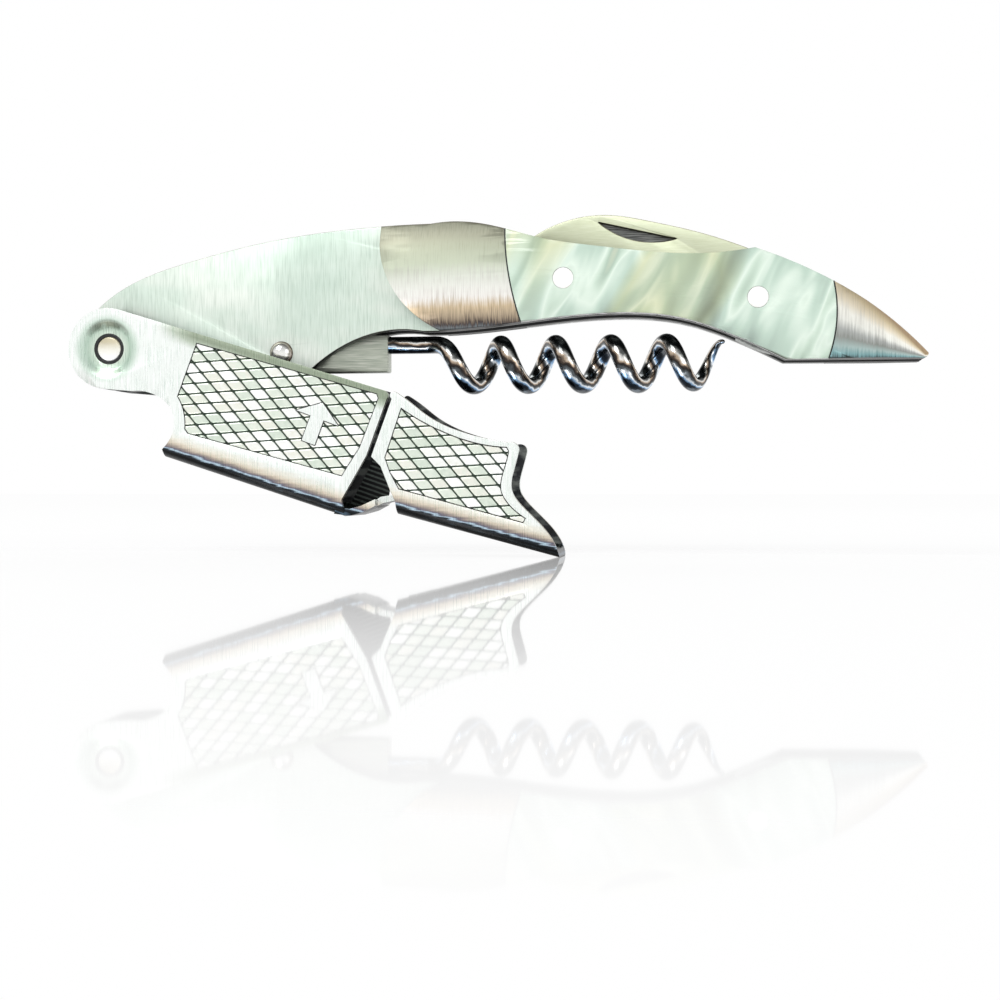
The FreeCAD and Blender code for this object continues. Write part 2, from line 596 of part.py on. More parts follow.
# A plain arrow stays raised in the panel and points across the lever, towards the handle.
ARROW_TIP, ARROW_TAIL = at(-24.2, 22.8), at(-26.4, 16.9)
along = (ARROW_TIP - ARROW_TAIL).normalize()
beside = at(-along.y, along.x)
HEAD_LENGTH, HEAD_HALF, SHAFT_HALF = 2.4, 3.4, 1.05
neck = ARROW_TIP - along * HEAD_LENGTH
arrow_wire = line(
    ARROW_TIP, neck + beside * HEAD_HALF, neck + beside * SHAFT_HALF, ARROW_TAIL + beside * SHAFT_HALF,
    ARROW_TAIL - beside * SHAFT_HALF, neck - beside * SHAFT_HALF, neck - beside * HEAD_HALF, ARROW_TIP,
)
first_panel = [first_panel_wire, arrow_wire]
first_recesses = [panel_recess("first_panel", first_panel, side) for side in ("front", "back")]
subpart("first_lever", cut("first_shape", first_solid, hub_bore, hinge_bore, *ear_dishes, *first_recesses))


def bush(side, y_sign):
    """Black flanged bush: its sleeve fills the ear's bore and its flange keeps the ear off the liner."""

    def ring(name, radius, inner, outer):
        """A disc between two distances from the middle plane."""
        half, middle = f"( {outer} - {inner} ) / 2", f"{y_sign} * ( {outer} + {inner} ) / 2"
        return rod(f"{name}_{side}", "lever_pivot_x", "lever_pivot_z", radius, half, middle)

    seat_end = "( half_width - lever_sheet - ear_seat_depth )"
    outer_end = "( half_width - bush_inset )"
    flange_face = "( gap_width / 2 + liner_thickness + bush_gap )"
    sleeve = ring("bush_sleeve", "bush_radius", seat_end, outer_end)
    flange = ring("bush_flange", "bush_flange_radius", flange_face, seat_end)
    fit = "lever_pin_radius + running_clearance"
    bore = rod(f"bush_bore_{side}", "lever_pivot_x", "lever_pivot_z", fit, "half_width * 2")
    return cut(f"bush_shape_{side}", fuse(f"bush_solid_{side}", sleeve, flange), bore)


for side, y_sign in (("front", -1), ("back", 1)):
    subpart(f"lever_bush_{side}", bush(side, y_sign))

# ---------------------------------------------------------------- second lever
SECOND_TIP = at(10.95, 0.0)
SECOND_HEEL = at(-13.1, 6.35)
HORN = at(3.6, 16.8)  # upper corner beside the rim notch
second_wire = (
    line(SECOND_HEEL, at(-13.3, 8.2), at(-14.0, 9.7), at(-15.5, 13.4), at(-16.9, 14.8), at(-13.8, 23.3))
    + arc(at(-13.8, 23.3), at(-13.8, 24.3), at(-13.2, 24.3))
    + curve(at(-13.2, 24.3), at(-10.8, 22.6), at(-8.7, 20.95), at(-4.1, 18.65), at(1.6, 17.15), HORN)
    + arc(HORN, at(4.9, 16.35), at(4.95, 15.4))
    + curve(at(4.95, 15.4), at(4.3, 12.9), at(4.0, 9.8), at(5.3, 7.8), at(8.0, 5.1), at(9.6, 3.2), SECOND_TIP)
    + line(SECOND_TIP, at(10.0, -3.0), at(-13.2, 3.0), SECOND_HEEL)
)
second_sides = plate("second_sides", [second_wire], "half_width", "half_width * 2")
slope = math.radians(SECOND_SLOPE)
second_foot = (SECOND_HEEL.x - FOOT_BACK * math.cos(slope), SECOND_HEEL.y - FOOT_BACK * math.sin(slope))
second_channel = channel("second_channel", second_foot, SECOND_SLOPE, 60)
second_walls = common("second_walls", second_sides, second_channel)
tongue_slot = doc.addObject("Part::Box", "tongue_slot")
bind(tongue_slot, Width=cell("tongue_slot_width"), Placement__Base__y=cell("0 - tongue_slot_width / 2"))
bind(tongue_slot, Length=cell("tongue_slot_length"), Height=cell("tongue_slot_height"))
bind(tongue_slot, Placement__Base__x=cell("hinge_x - tongue_slot_behind"))
bind(tongue_slot, Placement__Base__z=cell("tongue_slot_bottom"))
hinge_seat = rod("hinge_seat", "hinge_x", "hinge_z", "hinge_pin_radius", "half_width - 0.4")
second_panel_wire = (
    line(at(-12.4, 22.0), at(-14.9, 14.65), at(-14.1, 12.4), at(-12.8, 10.0), at(5.7, 5.05), at(6.1, 5.75))
    + curve(at(6.1, 5.75), at(4.3, 7.1), at(3.2, 8.35), at(2.5, 9.8), at(2.5, 11.1), at(3.6, 15.6))
    + line(at(3.6, 15.6), at(3.3, 16.15))
    + curve(at(3.3, 16.15), at(-3.4, 17.4), at(-7.0, 18.85), at(-9.1, 19.9), at(-12.4, 22.0))
)
second_recesses = [panel_recess("second_panel", [second_panel_wire], side) for side in ("front", "back")]
subpart("second_lever", cut("second_shape", second_walls, tongue_slot, hinge_seat, *second_recesses))

# ---------------------------------------------------------------- checks and files
doc.recompute()
for thing in doc.Objects:
    if "Invalid" in thing.State or "Error" in thing.State:
        raise SystemExit(f"{thing.Label}: {thing.State}")
os.makedirs("parts", exist_ok=True)
for thing in SUBPARTS:
    shape = thing.Shape
    if shape.isNull() or not shape.isValid():
        raise SystemExit(f"{thing.Label} has no valid shape")
    shape.exportStep(f"parts/{thing.Label}.step")
    print(f"{thing.Label:22s} solids {len(shape.Solids)}  volume {shape.Volume:8.1f}")
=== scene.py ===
"""Looks of the two-step lever corkscrew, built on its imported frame.

Metres, in the frame of the CAD model: +X runs from the hub to the tail tip, +Y to the back, +Z up.
"""

import math
import random

import bmesh
import bpy
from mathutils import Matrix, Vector
from mathutils.bvhtree import BVHTree

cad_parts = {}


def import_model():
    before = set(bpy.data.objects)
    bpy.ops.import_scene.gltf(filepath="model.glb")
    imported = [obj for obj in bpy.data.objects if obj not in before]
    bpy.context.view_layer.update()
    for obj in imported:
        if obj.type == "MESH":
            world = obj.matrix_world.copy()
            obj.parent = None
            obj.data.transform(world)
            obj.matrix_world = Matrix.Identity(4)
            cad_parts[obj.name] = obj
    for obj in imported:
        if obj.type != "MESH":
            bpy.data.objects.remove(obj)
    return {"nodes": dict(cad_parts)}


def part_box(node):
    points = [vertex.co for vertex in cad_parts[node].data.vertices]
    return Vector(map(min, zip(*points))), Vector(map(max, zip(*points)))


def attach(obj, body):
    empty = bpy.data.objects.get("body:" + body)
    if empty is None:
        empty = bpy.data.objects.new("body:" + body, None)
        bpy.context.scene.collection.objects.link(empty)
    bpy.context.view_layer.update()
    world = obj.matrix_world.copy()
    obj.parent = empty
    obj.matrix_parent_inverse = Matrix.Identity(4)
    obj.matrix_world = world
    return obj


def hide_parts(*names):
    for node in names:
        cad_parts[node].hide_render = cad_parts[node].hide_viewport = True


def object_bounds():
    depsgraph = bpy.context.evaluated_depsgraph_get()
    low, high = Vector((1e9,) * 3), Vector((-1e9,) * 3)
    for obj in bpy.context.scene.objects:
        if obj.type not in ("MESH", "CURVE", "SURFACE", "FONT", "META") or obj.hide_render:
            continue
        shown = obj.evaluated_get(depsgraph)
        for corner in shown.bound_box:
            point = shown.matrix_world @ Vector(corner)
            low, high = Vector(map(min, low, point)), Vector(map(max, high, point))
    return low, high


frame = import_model()
cad_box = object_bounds()
MM = 0.001
TINY = 1e-7
FRONT, BACK = -1, 1

BODY = {
    "lever_first": ("first_lever", "lever_bush_front", "lever_bush_back"),
    "lever_second": ("second_lever", "lever_hinge_pin"),
    "worm_arm": ("worm",),
    "blade_arm": ("foil_blade",),
}
BODY_OF = {node: body for body, nodes in BODY.items() for node in nodes}


def body_of(node):
    return BODY_OF.get(node, "handle")


HALF_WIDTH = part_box("first_lever")[1].y
HUB_X, HUB_Z = (sum(c[k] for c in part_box("lever_pivot_pin")) / 2 for k in (0, 2))
CREST_X, CREST_Z, CREST_RADIUS = 1.6 * MM, -148 * MM, 189 * MM  # crest line of the grips
BELLY_DEPTH, TOP_RISE = 7.6 * MM, 8.2 * MM  # the grips' edges under and over the crest line
TIP_END, TIP_Z = cad_box[1][0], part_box("tail_bolster_front")[0].z  # the tail's tip
# Each lever's spine: a point on its outer face (x, z) and how steeply it falls towards the tail.
SPINE = {
    "first_lever": (-48.7 * MM, 14.9 * MM, math.radians(17.9)),
    "second_lever": (-13.1 * MM, 6.35 * MM, math.radians(14.8)),
}

# Painted shade on the first lever's strip over its panel: two heights over the spine, and two places along
# x.
TOP_SHADE = (16.6 * MM, 18.4 * MM, -50.0 * MM, -44.0 * MM)
BAND_FOOT, BAND_HEAD = -0.2 * MM, 5.0 * MM  # the levers' painted reflection and shade bands, over the spine's outer face
BAND_SWAY = 1.0 * MM
DISH_SHADE = (2.3 * MM, 6.2 * MM)  # distances from the hub between which painted shade shows the ears' dish
CHANNEL_HALF = HALF_WIDTH - 1.05 * MM  # just short of the inner faces of the levers' walls
LEVER_INNER, LINER_INNER = 1.0 * MM, 0.5 * MM  # a face beyond these that looks inward is an inner one
RIDGE_GAP, FINE_RIDGE_GAP = 0.75 * MM, 0.55 * MM
HUB_PIN_SHADE, HUB_PIN_SWAY = 1.8 * MM, 0.5 * MM
NICK_DEPTH = 0.6 * MM  # the nail nick's floor is nearer the middle plane than this
TAIL_RUN_LEAST = 0.5 * MM


# ---------------------------------------------------------------- materials
def rgb(code):
    """A linear colour from a hexadecimal sRGB one."""
    channels = [int(code[k : k + 2], 16) / 255 for k in (0, 2, 4)]
    return [c / 12.92 if c <= 0.04045 else ((c + 0.055) / 1.055) ** 2.4 for c in channels] + [1.0]


# Painted shade by how far a surface faces up: 0 straight down, 1 straight up. Undersides are painted dark
# and top edges tinted, as light falls on them.
EDGE_SHADE = (
    (0.02, "1C1A18"), (0.13, "0B0A09"), (0.28, "8A857E"), (0.4, "FFFFFF"), (0.66, "FFFFFF"),
    (0.8, "B9AE9E"), (0.97, "8C8072"),
)
CROWN_EDGE_SHADE = (
    (0.02, "1C1A18"), (0.1, "0B0A09"), (0.2, "8A857E"), (0.26, "FFFFFF"), (0.76, "FFFFFF"),
    (0.88, "B9AE9E"), (0.98, "8C8072"),
)


class Look:
    """A procedural material whose nodes read object coordinates and object-space normals."""

    def __init__(self, name, **sockets):
        self.material = bpy.data.materials.new(name)
        self.material.use_nodes = True
        self.tree = self.material.node_tree
        self.shader = self.tree.nodes["Principled BSDF"]
        for socket, value in sockets.items():
            self.shader.inputs[socket.replace("_", " ")].default_value = value
        coordinates = self.node("TexCoord")
        self.place = coordinates.outputs["Object"]
        normal = self.node("SeparateXYZ", {}, {0: coordinates.outputs["Normal"]})
        self.facing_y, self.facing_up = normal.outputs["Y"], normal.outputs["Z"]
        spot = self.node("SeparateXYZ", {}, {0: self.place})
        self.x, self.y, self.z = spot.outputs

    def node(self, kind, settings=None, inputs=None):
        """A node with its settings and its inputs. An input that is an output of another node is linked."""
        made = self.tree.nodes.new("ShaderNode" + kind)
        for key, value in (settings or {}).items():
            setattr(made, key, value)
        for key, value in (inputs or {}).items():
            if isinstance(value, bpy.types.NodeSocket):
                self.tree.links.new(value, made.inputs[key])
            else:
                made.inputs[key].default_value = value
        return made

    def math(self, operation, *values):
        return self.node("Math", {"operation": operation}, dict(enumerate(values))).outputs[0]

    def spread(self, value, low, high, to_low=0.0, to_high=1.0):
        """value between low and high, carried to between to_low and to_high."""
        return self.node("MapRange", {}, {0: value, 1: low, 2: high, 3: to_low, 4: to_high}).outputs[0]

    def noise(self, per_mm, detail=3.0, seed=0.0):
        """Noise with per_mm waves a millimetre along x, y and z."""
        scale = [1000 * p for p in per_mm]
        mapped = self.node("Mapping", {}, {"Vector": self.place, "Scale": scale, "Location": (seed, 0, 0)})
        settings = {"Vector": mapped.outputs[0], "Scale": 1.0, "Detail": detail, "Distortion": 0.0}
        return self.node("TexNoise", {}, settings).outputs[0]

    def sway(self, noise, reach):
        """The noise, centred on 0 and scaled by reach."""
        return self.math("MULTIPLY", self.math("SUBTRACT", noise, 0.5), reach)

    def length(self, *sides):
        """Length of the vector with these two sides."""
        return self.math("SQRT", self.math("ADD", *(self.math("POWER", side, 2.0) for side in sides)))

    def waves(self, place, gap):
        """A sine between -1 and 1 with one wave every gap."""
        return self.math("SINE", self.math("MULTIPLY", place, 2 * math.pi / gap))

    def inward(self, beyond):
        """1 on faces that look at the middle plane from further away than that, 0 elsewhere."""
        return self.math("LESS_THAN", self.math("MULTIPLY", self.facing_y, self.y), -beyond)

    def ramp(self, value, *stops):
        """Colours along value: stops are (place, hexadecimal colour)."""
        made = self.node("ValToRGB", {}, {0: value})
        band = made.color_ramp
        while len(band.elements) < len(stops):
            band.elements.new(0.5)
        for element, (place, code) in zip(band.elements, stops):
            element.position = place
            element.color = rgb(code)
        return made.outputs[0]

    def mixed(self, share, first, second, blend="MIX"):
        made = self.node("Mix", {"data_type": "RGBA", "blend_type": blend}, {0: share, 6: first, 7: second})
        return made.outputs[2]

    def paint(self, colour):
        self.tree.links.new(colour, self.shader.inputs["Base Color"])
        return self

    def gloss(self, value, low, high):
        """Roughness between low and high as value goes from 0 to 1."""
        self.tree.links.new(self.spread(value, 0, 1, low, high), self.shader.inputs["Roughness"])
        return self

    def paint_edge_shade(self, colour, shade):
        """Painted shade: darkens the colour on undersides and warms it on top edges."""
        up = self.spread(self.facing_up, -1, 1)
        return self.mixed(1.0, colour, self.ramp(up, *shade), "MULTIPLY")

    def metal(self, most, dull=None):
        """Metallic, except on undersides and where dull is 1."""
        share = self.spread(self.facing_up, -0.75, -0.5, 0.0, most)
        if dull is not None:
            share = self.math("MULTIPLY", share, self.math("SUBTRACT", 1.0, dull))
        self.tree.links.new(share, self.shader.inputs["Metallic"])
        return self

    def relief(self, height, depth_mm, strength=1.0):
        """A fine bump, at most depth_mm deep."""
        bump = self.node("Bump", {}, {"Strength": strength, "Distance": depth_mm * MM, "Height": height})
        self.tree.links.new(bump.outputs[0], self.shader.inputs["Normal"])
        return self


def lever_steel(name, foot_x, foot_z, slope, top_shade=None):
    """Polished sheet. Painted reflection and shade bands follow the height over the spine: white, peach,
    brown, then blue-black streaks.

    top_shade paints shade on the sheet between two heights over the spine, fading in between two places
    along x.
    """
    look = Look(name, Specular_IOR_Level=0.3)
    brush = look.noise((6, 1, 0.25))
    pale = look.ramp(brush, (0.2, "D3E2DA"), (0.45, "EEF4EF"), (0.75, "FFFFFF"))
    from_foot_x = look.math("MULTIPLY", look.math("SUBTRACT", look.x, foot_x), math.sin(slope))
    from_foot_z = look.math("MULTIPLY", look.math("SUBTRACT", look.z, foot_z), math.cos(slope))
    height = look.math("ADD", from_foot_x, from_foot_z)
    sway = look.sway(look.noise((0.22, 1.5, 2.5), seed=4), BAND_SWAY)
    level = look.spread(look.math("ADD", height, sway), BAND_FOOT, BAND_HEAD)
    # Painted reflection and shade of the spine's rounded edge: white, peach, brown, then blue-black.
    painted_light_bands = look.ramp(
        level, (0.0, "3C4A4A"), (0.06, "14181C"), (0.12, "5A6C80"), (0.17, "0F1216"), (0.27, "2B3038"),
        (0.31, "C9DDF2"), (0.345, "6E6A7C"), (0.41, "A3948F"), (0.5, "E2D2C2"), (0.6, "F8EFE4"),
        (0.8, "FFFFFF"),
    )
    sheet = look.mixed(1.0, pale, painted_light_bands, "MULTIPLY")
    around = look.length(look.math("SUBTRACT", look.x, HUB_X), look.math("SUBTRACT", look.z, HUB_Z))
    # Painted shade of the dish round the hub.
    dish_shade = look.ramp(
        look.spread(around, *DISH_SHADE),
        (0.0, "DFE9DD"), (0.3, "BDD0C2"), (0.55, "DFEBE2"), (0.75, "FFFFFF"),
    )
    sheet = look.mixed(1.0, sheet, dish_shade, "MULTIPLY")
    if top_shade:
        from_height, to_height, from_x, to_x = top_shade
        along = look.spread(look.x, from_x, to_x)
        share = look.math("MULTIPLY", look.spread(height, from_height, to_height), along)
        # Painted shadow over the top of the first lever.
        shadow = look.ramp(share, (0.0, "FFFFFF"), (0.5, "CBD3C5"), (1.0, "A0A996"))
        sheet = look.mixed(1.0, sheet, shadow, "MULTIPLY")
    sheet = look.paint_edge_shade(sheet, EDGE_SHADE)
    inward = look.inward(LEVER_INNER)
    upward_face = look.math("GREATER_THAN", look.facing_up, 0.5)
    between_walls = look.math("LESS_THAN", look.math("ABSOLUTE", look.y), CHANNEL_HALF)
    floor_inside = look.math("MULTIPLY", upward_face, between_walls)
    # Painted shade on the inner faces of the walls, mottled.
    shade_mottle = look.noise((0.25, 0.6, 0.6), seed=15)
    wall = look.ramp(shade_mottle, (0.35, "0A0B0C"), (0.5, "23262A"), (0.62, "6C706C"))
    # The channel floor's fine ridges, painted dark for the shade between the walls.
    stripes = look.spread(look.waves(look.x, FINE_RIDGE_GAP), -1, 1)
    ridge_shade = look.ramp(stripes, (0.3, "060708"), (0.85, "2C332E"))
    look.paint(look.mixed(floor_inside, look.mixed(inward, sheet, wall), ridge_shade))
    look.metal(0.55, look.math("MAXIMUM", inward, floor_inside))
    return look.gloss(brush, 0.2, 0.38).relief(brush, 0.006).material


def liner_steel():
    """Satin plate with fine upright brushing and painted shade on its inner face."""
    look = Look("liner_steel", Specular_IOR_Level=0.3)
    brush = look.noise((9, 1, 0.35))
    cloud = look.noise((0.05, 0.05, 0.09), seed=2)
    body = look.ramp(cloud, (0.3, "CCDDD2"), (0.5, "DFEBE2"), (0.7, "F6F8F3"))
    grain = look.ramp(brush, (0.2, "D5DCD6"), (0.5, "F2F5F1"), (0.8, "FFFFFF"))
    inward = look.inward(LINER_INNER)
    # Painted shade on the inner face between the liners.
    inside = look.ramp(brush, (0.3, "0C0D0E"), (0.8, "2A2C2C"))
    outside = look.paint_edge_shade(look.mixed(1.0, body, grain, "MULTIPLY"), EDGE_SHADE)
    look.paint(look.mixed(inward, outside, inside)).metal(0.5, inward)
    return look.gloss(brush, 0.3, 0.5).relief(brush, 0.01).material


def crowned_steel(name, seed, level_of, *stops):
    """A polished crown with painted reflection and shade bands along it. level_of(look) is 0 at the belly
    and 1 at the top.
    """
    look = Look(name, Specular_IOR_Level=0.3)
    brush = look.noise((8, 1, 0.3), seed=seed)
    level = look.math("ADD", level_of(look), look.sway(brush, 0.16))
    grain = look.ramp(brush, (0.2, "CFCCC8"), (0.5, "F2F0EE"), (0.8, "FFFFFF"))
    shaded = look.paint_edge_shade(look.ramp(level, *stops), CROWN_EDGE_SHADE)
    look.paint(look.mixed(1.0, shaded, grain, "MULTIPLY")).metal(0.45)
    return look.gloss(brush, 0.3, 0.45).relief(brush, 0.006).material


def crest_level(look):
    """Height over the belly side of the crest line, which is part of a large circle."""
    out = look.length(look.math("SUBTRACT", look.x, CREST_X), look.math("SUBTRACT", look.z, CREST_Z))
    return look.spread(out, CREST_RADIUS - BELLY_DEPTH, CREST_RADIUS + TOP_RISE)


def fan_level(look):
    """Slope of the line to the tail's tip, because the tail's painted reflection bands all run to it."""
    rise = look.math("SUBTRACT", look.z, TIP_Z)
    run = look.math("MAXIMUM", look.math("SUBTRACT", TIP_END, look.x), TAIL_RUN_LEAST)
    return look.math("DIVIDE", rise, run)


def bolster_steel():
    """Painted reflection and shade: grey-green on top, a white band, then tan and dark brown towards the
    belly.
    """
    return crowned_steel(
        "bolster_steel", 7, crest_level,
        (0.0, "88959B"), (0.06, "4A403F"), (0.13, "B2A28C"), (0.22, "DCC8A8"), (0.31, "FAF8F4"),
        (0.4, "F8FAF4"), (0.5, "EBF0E6"), (0.64, "CAD3BE"), (0.76, "B0B6A2"), (0.88, "9A9C8A"),
        (1.0, "919382"),
    )


def tail_steel():
    """Painted reflection and shade: tan on top, a white middle, then grey and a cyan band over the dark
    underside.
    """
    return crowned_steel(
        "tail_steel", 12, fan_level,
        (0.0, "5E7478"), (0.05, "86B1B5"), (0.14, "B2C8C6"), (0.24, "9A9F9B"), (0.34, "B4B8B6"),
        (0.46, "F0F2EC"), (0.58, "F4F4EC"), (0.7, "E4DBC6"), (0.84, "C8BA9B"), (1.0, "A18C70"),
    )


def pearl():
    """Cast pearl plastic: soft slanting swirls under a clear gloss."""
    look = Look("pearl", Roughness=0.25, Coat_Weight=0.5, Coat_Roughness=0.06)
    turned = look.node("Mapping", {}, {"Vector": look.place, "Rotation": (0, math.radians(-25), 0)})
    slanted = look.node("Mapping", {}, {"Vector": turned.outputs[0], "Scale": (120, 60, 34)})
    noise = {"Vector": slanted.outputs[0], "Scale": 1.0, "Detail": 0.6, "Distortion": 1.5}
    drift = look.node("TexNoise", {}, noise)
    fine = look.node("TexNoise", {}, {**noise, "Scale": 2.0, "Detail": 1.5, "Distortion": 1.2})
    broad = look.math("MULTIPLY", drift.outputs[0], 0.74)
    swirl = look.math("ADD", broad, look.math("MULTIPLY", fine.outputs[0], 0.26))
    colour = look.ramp(
        swirl, (0.28, "98A29E"), (0.37, "B8C4BE"), (0.44, "D2DFD7"), (0.5, "F6FAF5"), (0.54, "DFE9E0"),
        (0.6, "BFCDC2"), (0.66, "D6D6C6"), (0.72, "EFEEE2"),
    )
    cloud = look.node("TexNoise", {}, {**noise, "Scale": 0.7, "Distortion": 0.6}).outputs[0]
    cream = look.ramp(cloud, (0.42, "E6F1E8"), (0.56, "DCDEBF"), (0.66, "D2DDD3"))
    look.paint(look.paint_edge_shade(look.mixed(1.0, colour, cream, "MULTIPLY"), CROWN_EDGE_SHADE))
    return look.material


def shaded_steel():
    """Springs and spacer between the liners: ground steel, painted darker for the shade between the liners.
    """
    look = Look("spring_steel", Metallic=0.8)
    brush = look.noise((0.4, 3, 6), seed=1)
    look.paint(look.ramp(brush, (0.3, "6D706E"), (0.7, "B9BCB8")))
    return look.gloss(brush, 0.3, 0.5).material


def pin_steel():
    """Flush rivets, faced bright, with painted shade on the rim."""
    look = Look("pin_steel", Metallic=0.1)
    face = look.noise((2.5, 2.5, 2.5), seed=3)
    bright = look.ramp(face, (0.3, "F6F4EE"), (0.6, "FFFFFF"))
    lean = look.spread(look.math("ABSOLUTE", look.facing_y), 0.3, 1.0)
    look.paint(look.mixed(1.0, bright, look.ramp(lean, (0.0, "4A443C"), (0.9, "FFFFFF")), "MULTIPLY"))
    return look.gloss(face, 0.3, 0.45).material


def ball_head():
    """The ball-like head of the worm's pin: painted reflection rings, bright in the middle, brown and dark
    at the rim.
    """
    look = Look("ball_head", Metallic=0.8, Roughness=0.15)
    lean = look.spread(look.math("ABSOLUTE", look.facing_y), 0.35, 1.0)
    ripple = look.noise((0.9, 0.9, 0.9), seed=3)
    lean = look.math("ADD", lean, look.sway(ripple, 0.25))
    painted_reflection_rings = look.ramp(
        lean, (0.0, "2E211A"), (0.3, "7A695C"), (0.5, "C9C2B8"), (0.62, "8C8880"), (0.8, "F4F4F0"),
    )
    return look.paint(painted_reflection_rings).material


def hub_pin():
    """The hub pin's face: painted shading of its slight dome, beige above, white below."""
    look = Look("hub_pin", Metallic=0.3)
    grain = look.noise((4, 4, 4), seed=5)
    height = look.math("ADD", look.z, look.sway(grain, HUB_PIN_SWAY))
    drop = look.spread(height, HUB_Z - HUB_PIN_SHADE, HUB_Z + HUB_PIN_SHADE)
    look.paint(look.ramp(drop, (0.1, "FFFFFF"), (0.45, "EFEDE2"), (0.8, "C9C0A4")))
    return look.gloss(grain, 0.25, 0.4).material


def black_bush():
    look = Look("black_bush")
    mottle = look.noise((3, 3, 3))
    look.paint(look.ramp(mottle, (0.3, "0B0C0D"), (0.7, "1E2021")))
    return look.gloss(mottle, 0.25, 0.4).material


def worm_steel():
    """Bright plated wire: painted reflection bands of light, shade, warmth and blue round its section."""
    look = Look("worm_steel", Metallic=0.9)
    ripple = look.noise((0.5, 0.5, 0.5), detail=4.0, seed=5)
    tilt = look.spread(look.math("ADD", look.facing_up, look.sway(ripple, 0.9)), -1.0, 1.0)
    # Painted reflection: the bands follow which way the wire's surface faces.
    painted_light_bands = look.ramp(
        tilt, (0.0, "39434C"), (0.1, "181D23"), (0.2, "2C3643"), (0.26, "8FB4DA"), (0.31, "F4FAFF"),
        (0.36, "5E6468"), (0.44, "262423"), (0.5, "463C36"), (0.57, "C2AE98"), (0.63, "FFFDF8"),
        (0.69, "7A7C7A"), (0.77, "24282A"), (0.86, "383E40"), (0.93, "8E9696"), (1.0, "20262A"),
    )
    look.paint(painted_light_bands)
    return look.gloss(ripple, 0.08, 0.2).material


def tang_steel():
    """The worm's flat tang, brushed lengthwise."""
    look = Look("tang_steel", Metallic=0.8)
    brush = look.noise((0.25, 2, 7), seed=9)
    look.paint(look.ramp(brush, (0.25, "8C948A"), (0.5, "B2B8AA"), (0.75, "D6D8CE")))
    return look.gloss(brush, 0.25, 0.4).relief(brush, 0.01).material


def blade_steel():
    """Satin blade with painted shade, streaked, in its nail nick."""
    look = Look("blade_steel", Metallic=0.5)
    brush = look.noise((0.5, 2, 7), seed=6)
    body = look.ramp(brush, (0.25, "CDD4B4"), (0.5, "D6DCBE"), (0.75, "DDE3C9"))
    nick_shade_streaks = look.ramp(look.noise((0.4, 1, 9), seed=8), (0.35, "2E302F"), (0.65, "80827F"))
    sunk = look.math("GREATER_THAN", look.y, -NICK_DEPTH)
    level = look.math("LESS_THAN", look.facing_y, -0.9)
    body = look.paint_edge_shade(body, EDGE_SHADE)
    look.paint(look.mixed(look.math("MULTIPLY", sunk, level), body, nick_shade_streaks))
    return look.gloss(brush, 0.35, 0.5).material


def panel_cells():
    """Raised cells between engraved lines. The mesh says how deep a point lies and which cell it is in."""
    look = Look("panel_cells", Metallic=0.6)
    depth = look.node("Attribute", {"attribute_name": "sunk"}).outputs["Fac"]
    cell = look.node("Attribute", {"attribute_name": "cell"}).outputs["Fac"]
    mottle = look.noise((1.2, 1.2, 1.2), seed=2)
    tint = look.math("ADD", look.math("MULTIPLY", cell, 0.6), look.math("MULTIPLY", mottle, 0.4))
    raised = look.ramp(
        tint, (0.15, "D2DED0"), (0.35, "E4ECDF"), (0.5, "EFEFE4"), (0.65, "F8FAF5"), (0.85, "FFFFFF"),
    )
    line = look.ramp(depth, (0.4, "FFFFFF"), (0.7, "8E9B90"), (0.93, "36423A"))
    look.paint(look.mixed(1.0, raised, line, "MULTIPLY"))
    return look.gloss(depth, 0.3, 0.6).material


def ridged_shade():
    """Painted shade on an inner face, with fine slanting ridges."""
    look = Look("ridged_shade", Metallic=0.3)
    slant = look.math("ADD", look.math("MULTIPLY", look.x, 0.35), look.z)
    wave = look.spread(look.waves(slant, RIDGE_GAP), -1, 1, 0.0, 0.75)
    mottle = look.noise((0.6, 1, 2.0), seed=6)
    level = look.math("ADD", wave, look.math("MULTIPLY", mottle, 0.4))
    look.paint(look.ramp(level, (0.25, "060708"), (0.6, "2A302E"), (0.85, "78827C")))
    return look.gloss(mottle, 0.4, 0.6).material


def engraved_dark():
    look = Look("engraved_dark")
    mottle = look.noise((2, 2, 2), seed=1)
    look.paint(look.ramp(mottle, (0.3, "07090A"), (0.7, "1B201C")))
    return look.gloss(mottle, 0.4, 0.6).material


LOOKS = {
    "liner_steel": liner_steel(),
    "bolster_steel": bolster_steel(),
    "pearl": pearl(),
    "spring_steel": shaded_steel(),
    "pin_steel": pin_steel(),
    "black_bush": black_bush(),
    "first_lever": lever_steel("first_lever_steel", *SPINE["first_lever"], TOP_SHADE),
    "second_lever": lever_steel("second_lever_steel", *SPINE["second_lever"]),
    "tail_steel": tail_steel(),
    "ball_head": ball_head(),
    "hub_pin": hub_pin(),
    "worm_steel": worm_steel(),
    "tang_steel": tang_steel(),
    "blade_steel": blade_steel(),
    "panel_cells": panel_cells(),
    "engraved_dark": engraved_dark(),
    "ridged_shade": ridged_shade(),
}


# ---------------------------------------------------------------- pieces
def piece(name, mesh, look, slot, body, *stands_for):
    """A visible piece with its finish, on its body. stands_for are the CAD nodes that it replaces."""
    made = bpy.data.objects.new(name, mesh)
    bpy.context.scene.collection.objects.link(made)
    mesh.materials.clear()
    mesh.materials.append(LOOKS[look])
    if stands_for:
        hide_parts(*stands_for)
    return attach(made, body)


def mesh_from(name, points, faces, smooth=True):
    mesh = bpy.data.meshes.new(name)
    mesh.from_pydata([tuple(p) for p in points], [], faces)
    mesh.update()
    for face in mesh.polygons:
        face.use_smooth = smooth
    return mesh


WELD = 0.012 * MM
FLAT = math.radians(0.3)  # faces closer than this to one plane become one face
SHARP = math.radians(28)  # steeper edges than this are rounded


